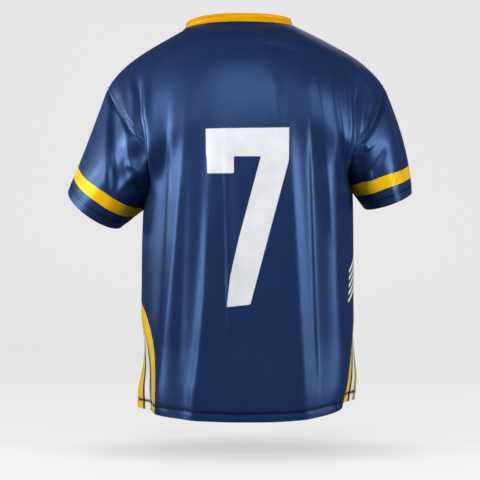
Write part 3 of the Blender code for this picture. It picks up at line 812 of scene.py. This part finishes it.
# Sleeves. Each is a short tube of the navy knit, eased into the armhole and cut off square above
# a gold band and a navy end. The folds gather at the underarm, where the arm would press it.
CUFF_COLUMNS = ("x", "z", "half_x", "half_z", "half_y", "tilt_x", "tilt_z", "bulge")
CUFFS = {
    "left": (-0.2725, -0.3195, -0.0455, 0.0345, 0.072, -0.010, -0.015, -0.001),
    "right": (0.2525, -0.3065, 0.0405, 0.0155, 0.080, 0.002, -0.008, 0.011),
}
OUTER_START = -0.2
CUFF_WIDTH = 0.026
UNDERARM_WIDENING = 0.18
BAND_WIDTH = 0.019
SLEEVE_ROWS = 62
ARMHOLE_GAP = 0.00003
FOLD_START = 0.012  # the sleeve's folds rise over this distance from the armhole
SLEEVE_FOLDS = {
    "left": (
        (-0.245, -0.050, -0.245, -0.340, 0.000, 0.020, 0.60, 1.2, 0.0090),
        (-0.238, -0.110, -0.226, -0.340, 0.000, 0.010, 0.00, 2.0, -0.0034),
        (-0.230, -0.100, -0.200, -0.290, 0.003, 0.008, -0.30, 1.8, 0.0036),
        (-0.214, -0.244, -0.176, -0.268, 0.000, 0.009, -0.40, 1.6, 0.0050),
        (-0.206, -0.276, -0.178, -0.302, 0.000, 0.012, 0.00, 2.0, -0.0080),
    ),
    "right": (
        (0.250, -0.090, 0.282, -0.310, 0.005, 0.006, 0.20, 1.8, -0.0050),
        (0.232, -0.080, 0.252, -0.350, 0.004, 0.026, 0.30, 1.8, 0.0050),
        (0.240, -0.205, 0.190, -0.290, 0.002, 0.009, 0.00, 2.0, -0.0034),
        (0.194, -0.206, 0.212, -0.226, 0.000, 0.008, -0.40, 1.5, 0.0050),
        (0.192, -0.226, 0.206, -0.296, 0.000, 0.010, 0.00, 2.0, -0.0080),
        # across the band
        (0.286, -0.240, 0.248, -0.292, 0.000, 0.004, 0.00, 1.8, -0.0018),
        (0.270, -0.244, 0.236, -0.296, 0.000, 0.004, 0.00, 1.8, -0.0016),
    ),
}
SLEEVE_FRONT_FOLDS = {
    "left": (
        (-0.240, -0.110, -0.246, -0.300, 0.000, 0.016, 0.50, 1.3, 0.0070),
        (-0.226, -0.150, -0.214, -0.280, 0.000, 0.009, 0.00, 2.0, -0.0050),
        (-0.212, -0.230, -0.184, -0.268, 0.000, 0.009, -0.40, 1.5, 0.0046),
        (-0.206, -0.262, -0.190, -0.320, 0.000, 0.007, 0.00, 2.0, -0.0046),
    ),
    "right": (
        (0.236, -0.120, 0.258, -0.300, 0.003, 0.018, 0.00, 1.5, 0.0050),
        (0.222, -0.160, 0.216, -0.280, 0.000, 0.009, 0.00, 2.0, -0.0044),
        (0.232, -0.206, 0.194, -0.262, 0.000, 0.008, 0.00, 1.5, 0.0040),
        (0.214, -0.236, 0.204, -0.292, 0.000, 0.008, 0.00, 2.0, -0.0036),
    ),
}


def armhole(side):
    """The closed edge of the armhole, from the shoulder tip down the back and up the front."""
    first = len(body_drops())
    column = 0 if side == "left" else -1
    back_edge = back_points[first:, column]
    front_edge = front_points[first:, -1 if side == "left" else 0]
    loop = np.vstack([back_edge[::-1], front_edge])
    loop[-1] = loop[0] = (loop[0] + loop[-1]) / 2
    return loop


def cuff(side):
    """The closed edge of the sleeve's opening, point for point with the armhole, and how far
    each point is on the outer side of the arm."""
    at = dict(zip(CUFF_COLUMNS, CUFFS[side]))
    loop = armhole(side)
    lengths = lengths_along(loop)
    half = YOKE_ROWS + SHOULDER_ROWS
    under = (lengths[half] + lengths[half + 1]) / 2
    turn = np.interp(lengths, (0, under, lengths[-1]), (0, math.pi, 2 * math.pi))
    out, back_share = np.cos(turn), np.sin(turn)
    x = at["x"] + at["half_x"] * out + at["tilt_x"] * back_share
    z = at["z"] + at["half_z"] * out + at["tilt_z"] * back_share
    outer = smooth_step((out - OUTER_START) / (1 - OUTER_START))
    return np.column_stack([x, -at["half_y"] * back_share, z]), outer


def sleeve_points(side, start, end, count):
    """Rings of the sleeve between two distances: from the armhole, or, below zero, from the
    opening."""
    first = armhole(side)
    last, outer = cuff(side)
    run = last - first
    length = np.linalg.norm(run, axis=1)[:, None]
    bulge = dict(zip(CUFF_COLUMNS, CUFFS[side]))["bulge"]
    middle_first, middle_last = first[:-1].mean(axis=0), last[:-1].mean(axis=0)
    widening = 1 + UNDERARM_WIDENING * (1 - outer)[:, None]
    near = start if start >= 0 else length + start * widening
    far = end if end > 0 else length + end * widening
    rows, spokes = [], []
    for part in np.linspace(0, 1, count + 1):
        share = (near + (far - near) * part) / length
        points = first + run * share
        spoke = unit(points - (middle_first + (middle_last - middle_first) * share))
        rise = bulge * 4 * outer[:, None] * share * (1 - share)
        rise = rise + SEAM_DIP * (1 - np.exp(-((share * length / SEAM_DIP_WIDTH) ** 2)))
        rows.append(points + spoke * rise)
        spokes.append(spoke * smooth_step(share * length / FOLD_START))
    points, spokes = np.array(rows), np.array(spokes)
    points = points + spokes * lifted(points, SLEEVE_FOLDS[side], SLEEVE_FRONT_FOLDS[side])
    points[:, -1] = points[:, 0]
    return points[:, ::-1] if side == "left" else points


sleeves = {}
for side in ("left", "right"):
    rings = sleeve_points(side, ARMHOLE_GAP, -CUFF_WIDTH - BAND_WIDTH, SLEEVE_ROWS)
    nowhere = {"sewn_line_and_painted_shade": np.full(rings.shape[:2], -1.0)}
    sleeves[side] = lay_cloth(
        f"sleeve_{side}_cloth", rings, [navy_plain, navy_reverse], closed=True, prints=nowhere
    )
    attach(sleeves[side], "root")
    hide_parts(f"sleeve_{side}")

# Sleeve bands. A strip of gold knit is let in between the sleeve and its end.
BAND_ROWS = 8
gold_knit = knit("satin_knit_gold", "#FFC60A", bloom="#FFE040", sheen=0.15)
gold_reverse = reverse("knit_reverse_gold", "#E0A820")
bands = {}
for side in ("left", "right"):
    rings = sleeve_points(side, -CUFF_WIDTH - BAND_WIDTH + SEAM_GAP, -CUFF_WIDTH, BAND_ROWS)
    bands[side] = lay_cloth(f"band_{side}_cloth", rings, [gold_knit, gold_reverse], closed=True)
    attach(bands[side], "root")
    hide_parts(f"sleeve_band_{side}")

# Sleeve ends. A doubled strip of the navy knit, turned under and sewn down with two rows.
CUFF_ROWS = 20
CUFF_THICKNESS = 0.0016
CUFF_SEAM = 0.0130
CUFF_LINE_AND_PAINTED_SHADE_HALF = 0.0013
cuffs = {}
cuff_rings = {}
for side in ("left", "right"):
    rings = sleeve_points(side, -CUFF_WIDTH + SEAM_GAP, 0, CUFF_ROWS)
    cuff_rings[side] = rings
    from_edge = np.linspace(CUFF_WIDTH, 0, CUFF_ROWS + 1)[:, None] + np.zeros(rings.shape[:2])
    cuffs[side] = lay_cloth(
        f"cuff_{side}_cloth",
        rings,
        [navy_plain, navy_reverse],
        closed=True,
        thickness=CUFF_THICKNESS,
        # a dark band between the two rows of stitches: the thread's dark and painted shade of the
        # groove they press in
        prints={"sewn_line_and_painted_shade": CUFF_LINE_AND_PAINTED_SHADE_HALF - np.abs(from_edge - CUFF_SEAM)},
    )
    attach(cuffs[side], "root")
    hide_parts(f"cuff_{side}")

# Collar. A doubled band of gold knit that stands on the neckline, mitred at the point of the V
# and a little slack at the back, where one soft crease crosses it.
COLLAR_WIDTH = 0.013
COLLAR_BACK_EXTRA = 0.006
COLLAR_LEAN = 0.30
COLLAR_BACK_LEAN = 0.20
COLLAR_FRONT_LEAN = 0.25
COLLAR_MITRE = 0.35
COLLAR_MITRE_POWER = 8
COLLAR_GAP = 0.0004
COLLAR_ROWS = 14
COLLAR_HALF_COLUMNS = 60
COLLAR_THICKNESS = 0.0020
NECK_MIDDLE_Y = 0.010
COLLAR_CREASE = 0.0030
COLLAR_CREASE_WIDTH = 0.10
COLLAR_CREASE_SLANT = 0.315
COLLAR_CREASE_X = 0.010


def collar_points():
    """Rows of the collar, from its seam up to its free edge."""
    quarters = (("back", "left"), ("back", "right"), ("front", "right"), ("front", "left"))
    seam = []
    for face, side in quarters:
        part = spread(neckline(side, face), np.linspace(0, 1, COLLAR_HALF_COLUMNS + 1))
        seam.append(part if (face == "back") == (side == "left") else part[::-1])
    loop = np.vstack([part[:-1] for part in seam] + [seam[0][:1]])
    middle = np.array([NECK_X, NECK_MIDDLE_Y, 0])
    ahead = smooth_step(loop[:, 1] / NECK_FRONT_DEPTH)
    behind = smooth_step(-loop[:, 1] / NECK_BACK_DEPTH)
    inward = unit((middle - loop) * (1, 1, 0))
    lean = COLLAR_LEAN + COLLAR_BACK_LEAN * behind + COLLAR_FRONT_LEAN * ahead
    width = COLLAR_WIDTH + COLLAR_BACK_EXTRA * (behind + ahead)
    way = np.column_stack([inward[:, 0] * lean, inward[:, 1] * lean, np.sqrt(1 - lean**2)])
    mitre = 1 + COLLAR_MITRE * ahead**COLLAR_MITRE_POWER
    from_middle = (loop[:, 0] - NECK_X - COLLAR_CREASE_X) / NECK_HALF_WIDTH
    crease_at = 0.5 + COLLAR_CREASE_SLANT * from_middle
    rows = []
    for part in np.linspace(0, 1, COLLAR_ROWS + 1):
        rise = COLLAR_GAP + (width * mitre - COLLAR_GAP) * part
        crease = COLLAR_CREASE * behind * np.exp(-(((part - crease_at) / COLLAR_CREASE_WIDTH) ** 2))
        rows.append(loop + way * rise[:, None] + inward * crease[:, None])
    return np.array(rows)


collar_rings = collar_points()
collar_knit = knit("satin_knit_deep_gold", GOLD, bloom="#FFD820", sheen=0.1)
collar = lay_cloth(
    "collar_cloth", collar_rings, [collar_knit, collar_knit], closed=True, thickness=COLLAR_THICKNESS
)
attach(collar, "root")
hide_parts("collar")

# Stitching. Spun polyester thread in straight stitches 3 mm long: two rows hold the hem and each
# sleeve end, and two run beside each armhole.
STITCH = 0.0029
STITCH_PITCH = 0.0036
THREAD = 0.0011
THREAD_FLATNESS = 0.7
THREAD_LIFT = 0.15
TWIST_SHADE = 0.6


def thread_material(name, colour):
    """Spun thread: matt, with a slight twist in its light."""
    material, shader = new_material(name)
    place = add_node(material, "TexCoord").outputs["Object"]
    twist = add_node(material, "TexNoise", {"Vector": place, "Scale": 900}).outputs[0]
    shadow = [TWIST_SHADE * value for value in srgb(colour)]
    tone = mixed(material, twist, srgb(colour), shadow)
    set_inputs(material, shader, {"Base Color": tone, "Roughness": 0.6})
    return material


def one_stitch():
    """Corners and faces of a stitch along X, lying on the cloth at Z 0."""
    bpy.ops.object.select_all(action="DESELECT")
    bpy.ops.mesh.primitive_uv_sphere_add(segments=6, ring_count=4, radius=0.5)
    bead = bpy.context.object
    points = np.array([tuple(vertex.co) for vertex in bead.data.vertices])
    faces = [tuple(face.vertices) for face in bead.data.polygons]
    bpy.data.objects.remove(bead)
    return points[:, [2, 0, 1]] * (STITCH, THREAD, THREAD * THREAD_FLATNESS), faces


def sew(name, lines, material):
    """Stitches along lines, each a run of points with the cloth's way out at each."""
    shape, shape_faces = one_stitch()
    points, faces = [], []
    for line, normals in lines:
        lengths = lengths_along(line)
        for middle in np.arange(STITCH_PITCH / 2, lengths[-1], STITCH_PITCH):
            at = middle + STITCH * np.array([-0.5, 0, 0.5])
            start, centre, end = read_run(at, lengths, line)
            along = unit(end - start)
            beside = unit(np.cross(unit(read_run(middle, lengths, normals)), along))
            up = np.cross(along, beside)
            first = len(points) * len(shape)
            placed = centre + shape @ np.array([along, beside, up])
            points.append(placed + up * THREAD * THREAD_LIFT)
            faces += [[first + corner for corner in face] for face in shape_faces]
    mesh = bpy.data.meshes.new(name)
    mesh.from_pydata(np.vstack(points).tolist(), [], faces)
    mesh.materials.append(material)
    mesh.shade_smooth()
    rows = bpy.data.objects.new(name, mesh)
    bpy.context.scene.collection.objects.link(rows)
    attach(rows, "root")
    return rows


def normals_of(points):
    """The way out of the cloth at each point of a grid."""
    return unit(np.cross(np.gradient(points, axis=1), np.gradient(points, axis=0)))


def across_line(points, distance):
    """A run across all columns of a grid, at a distance up its columns from the first row."""
    lengths = lengths_along(points)
    grids = (points, normals_of(points))
    columns = range(points.shape[1])
    return [
        np.array([read_run(distance, lengths[:, k], grid[:, k]) for k in columns]) for grid in grids
    ]


def turned(points):
    """The same grid with its rows and columns exchanged, still facing out."""
    return points.transpose(1, 0, 2)[:, ::-1]


HEM_ROWS_AT = (0.0125, 0.0180)
dark_thread = thread_material("polyester_thread_dark_navy", "#04070F")
blue_thread = thread_material("polyester_thread_navy", "#33497F")
hem_lines = []
for points in (back_points, side_points["right"], front_points, side_points["left"]):
    hem_lines += [across_line(points, at) for at in HEM_ROWS_AT]
hem_stitches = sew("hem_stitches", hem_lines, dark_thread)

CUFF_ROWS_AT = (0.0105, 0.0155)
for side in ("left", "right"):
    lines = [across_line(cuff_rings[side], at) for at in CUFF_ROWS_AT]
    sew(f"cuff_stitches_{side}", lines, dark_thread)

ARMHOLE_ROWS_AT = (0.0035, SEWN_AT)
first_yoke_row = len(body_drops())
for side in ("left", "right"):
    lines = []
    for points, left_first in ((back_points, True), (front_points, False)):
        yoke = points[first_yoke_row:]
        if (side == "left") == left_first:
            grid = turned(yoke)
        else:
            grid = turned(yoke[:, ::-1])[:, ::-1]
        lines += [across_line(grid, at) for at in ARMHOLE_ROWS_AT]
    sew(f"armhole_stitches_{side}", lines, blue_thread)

# Studio. A pale cove that glows a little, its floor 67 mm below the hem and swept up into the
# wall behind, with softboxes at the sides, before and behind. A painted shadow darkens its glow
# in a soft oval on the floor under the jersey.
FLOOR_Z = -0.756
COVE_HALF_WIDTH = 5.0
COVE_NEAR_Y = -4.0
COVE_TURN_Y = 2.2
COVE_RADIUS = 0.7
COVE_ARC_STEPS = 12
COVE_TOP_Z = 3.0
GLOW = 0.70  # the cove has lamps of its own
PAINTED_SHADOW_GLOW = 0.56  # painted shadow: the cove's glow is this low on the floor under the middle of the jersey
PAINTED_SHADOW_HALF_WIDTH = 0.36
PAINTED_SHADOW_HALF_DEPTH = 0.17
PAINTED_SHADOW_SPAN = (0.35, 1.15)  # of those, from full painted shadow to none
turns = np.linspace(0, math.pi / 2, COVE_ARC_STEPS + 1)
arc = zip(COVE_TURN_Y + COVE_RADIUS * np.sin(turns), FLOOR_Z + COVE_RADIUS * (1 - np.cos(turns)))
cove_steps = [(COVE_NEAR_Y, FLOOR_Z), *arc, (COVE_TURN_Y + COVE_RADIUS, COVE_TOP_Z)]
cove_rows = [[(-COVE_HALF_WIDTH, *step), (COVE_HALF_WIDTH, *step)] for step in cove_steps]
cove = laid_grid("cove", np.array(cove_rows))
bpy.ops.object.shade_smooth()
matt_paint, paint = new_material("matt_grey_paint_with_painted_shadow")
cove_place = add_node(matt_paint, "TexCoord").outputs["Object"]
painted_shadow_scale = (1 / PAINTED_SHADOW_HALF_WIDTH, 1 / PAINTED_SHADOW_HALF_DEPTH, 0)
under = add_node(matt_paint, "Mapping", {"Vector": cove_place, "Scale": painted_shadow_scale}).outputs[0]
from_middle = add_node(matt_paint, "VectorMath", {0: under}, {"operation": "LENGTH"}).outputs["Value"]
# painted shadow: the cove's glow drops in a soft oval round the place under the jersey
glow_with_painted_shadow = ranged(matt_paint, from_middle, PAINTED_SHADOW_SPAN, (PAINTED_SHADOW_GLOW, GLOW), "SMOOTHSTEP")
matt_grey = {
    "Base Color": srgb("#8C8C8C"),
    "Roughness": 0.9,
    "Emission Color": srgb("#FFFFFF"),
    "Emission Strength": glow_with_painted_shadow,
}
set_inputs(matt_paint, paint, matt_grey)
cove.data.materials.append(matt_paint)
cove.visible_diffuse = False
cove.visible_glossy = False


def softbox(name, place, aim, size, power, spread_degrees=180):
    """A rectangular softbox with a grid that narrows its beam, facing a point."""
    bpy.ops.object.light_add(type="AREA", location=place)
    light = bpy.context.object
    light.name = name
    light.data.shape = "RECTANGLE"
    light.data.size, light.data.size_y = size
    light.data.energy = power
    light.data.spread = math.radians(spread_degrees)
    light.rotation_euler = (Vector(aim) - Vector(place)).to_track_quat("-Z", "Y").to_euler()


softbox("softbox_left", (-1.78, -0.98, 0.02), (0, 0, -0.30), (0.7, 1.3), 30)
softbox("softbox_far_left", (-1.95, 0.10, 0.10), (-0.29, 0, -0.19), (0.3, 0.3), 0.22, 16)
softbox("softbox_right", (1.74, -1.04, 0.02), (0, 0, -0.30), (0.7, 1.3), 26)
softbox("softbox_far_side", (0.5, 2.30, 1.20), (0, 0, -0.30), (1.5, 1.0), 4)
softbox("softbox_front", (0, -2.45, 0.95), (0, 0, -0.25), (1.8, 0.8), 20)

world = bpy.data.worlds.new("studio")
bpy.context.scene.world = world
world.use_nodes = True
sky = world.node_tree.nodes["Background"]
seen = add_node(world, "LightPath").outputs["Is Camera Ray"]
sky_level = ranged(world, seen, result=(0.08, 0.85))
set_inputs(world, sky, {"Color": (1, 1, 1, 1), "Strength": sky_level})
bpy.context.scene.view_settings.view_transform = "Standard"

CAMERA_PLACE = (-0.0135, -2.4, -0.378)
bpy.ops.object.camera_add(location=CAMERA_PLACE, rotation=(math.radians(90), 0, 0))
camera = bpy.context.object
camera.name = "camera"
camera.data.lens = 100
camera.data.sensor_width = 36
bpy.context.scene.camera = camera
